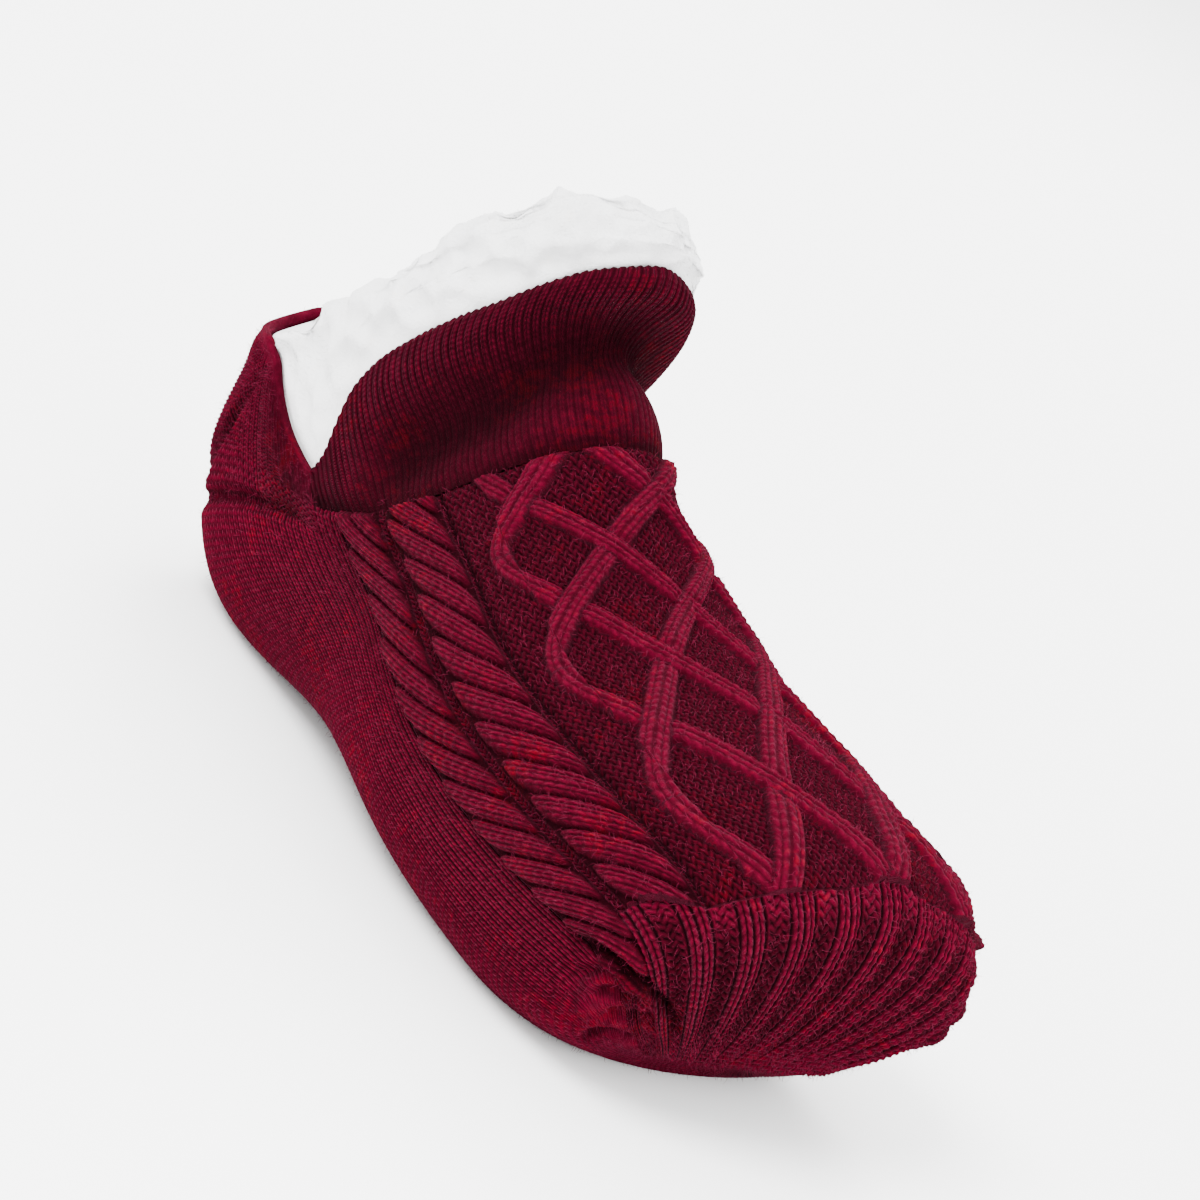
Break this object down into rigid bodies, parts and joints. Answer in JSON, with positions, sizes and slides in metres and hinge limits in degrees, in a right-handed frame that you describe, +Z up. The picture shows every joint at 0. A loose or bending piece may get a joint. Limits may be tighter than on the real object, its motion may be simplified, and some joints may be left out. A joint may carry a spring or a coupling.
{
  "type": "slipper sock",
  "caption": "Fleece-lined cable-knit slipper sock with plain-knit sole, ribbed cuff with side notches and a thick fleece collar.",
  "frame": {"origin": "centre of the bounding box's underside, on the floor plane", "axes": "+X from heel to toe, +Y across the foot, +Z up"},
  "size_m": [0.2398, 0.101, 0.1371],
  "materials": {
    "cable_knit": "burgundy heathered yarn in cables and diamonds",
    "plain_knit": "burgundy heathered yarn in plain knit",
    "rib_knit": "burgundy heathered yarn in a fine rib",
    "fleece": "off-white curly pile fleece",
    "footbed_fleece": "off-white curly pile fleece"
  },
  "bodies": {
    "root": {"upper": "cable_knit", "sole": "plain_knit", "cuff": "rib_knit", "fleece_collar": "fleece", "insole": "footbed_fleece"}
  },
  "joints": []
}
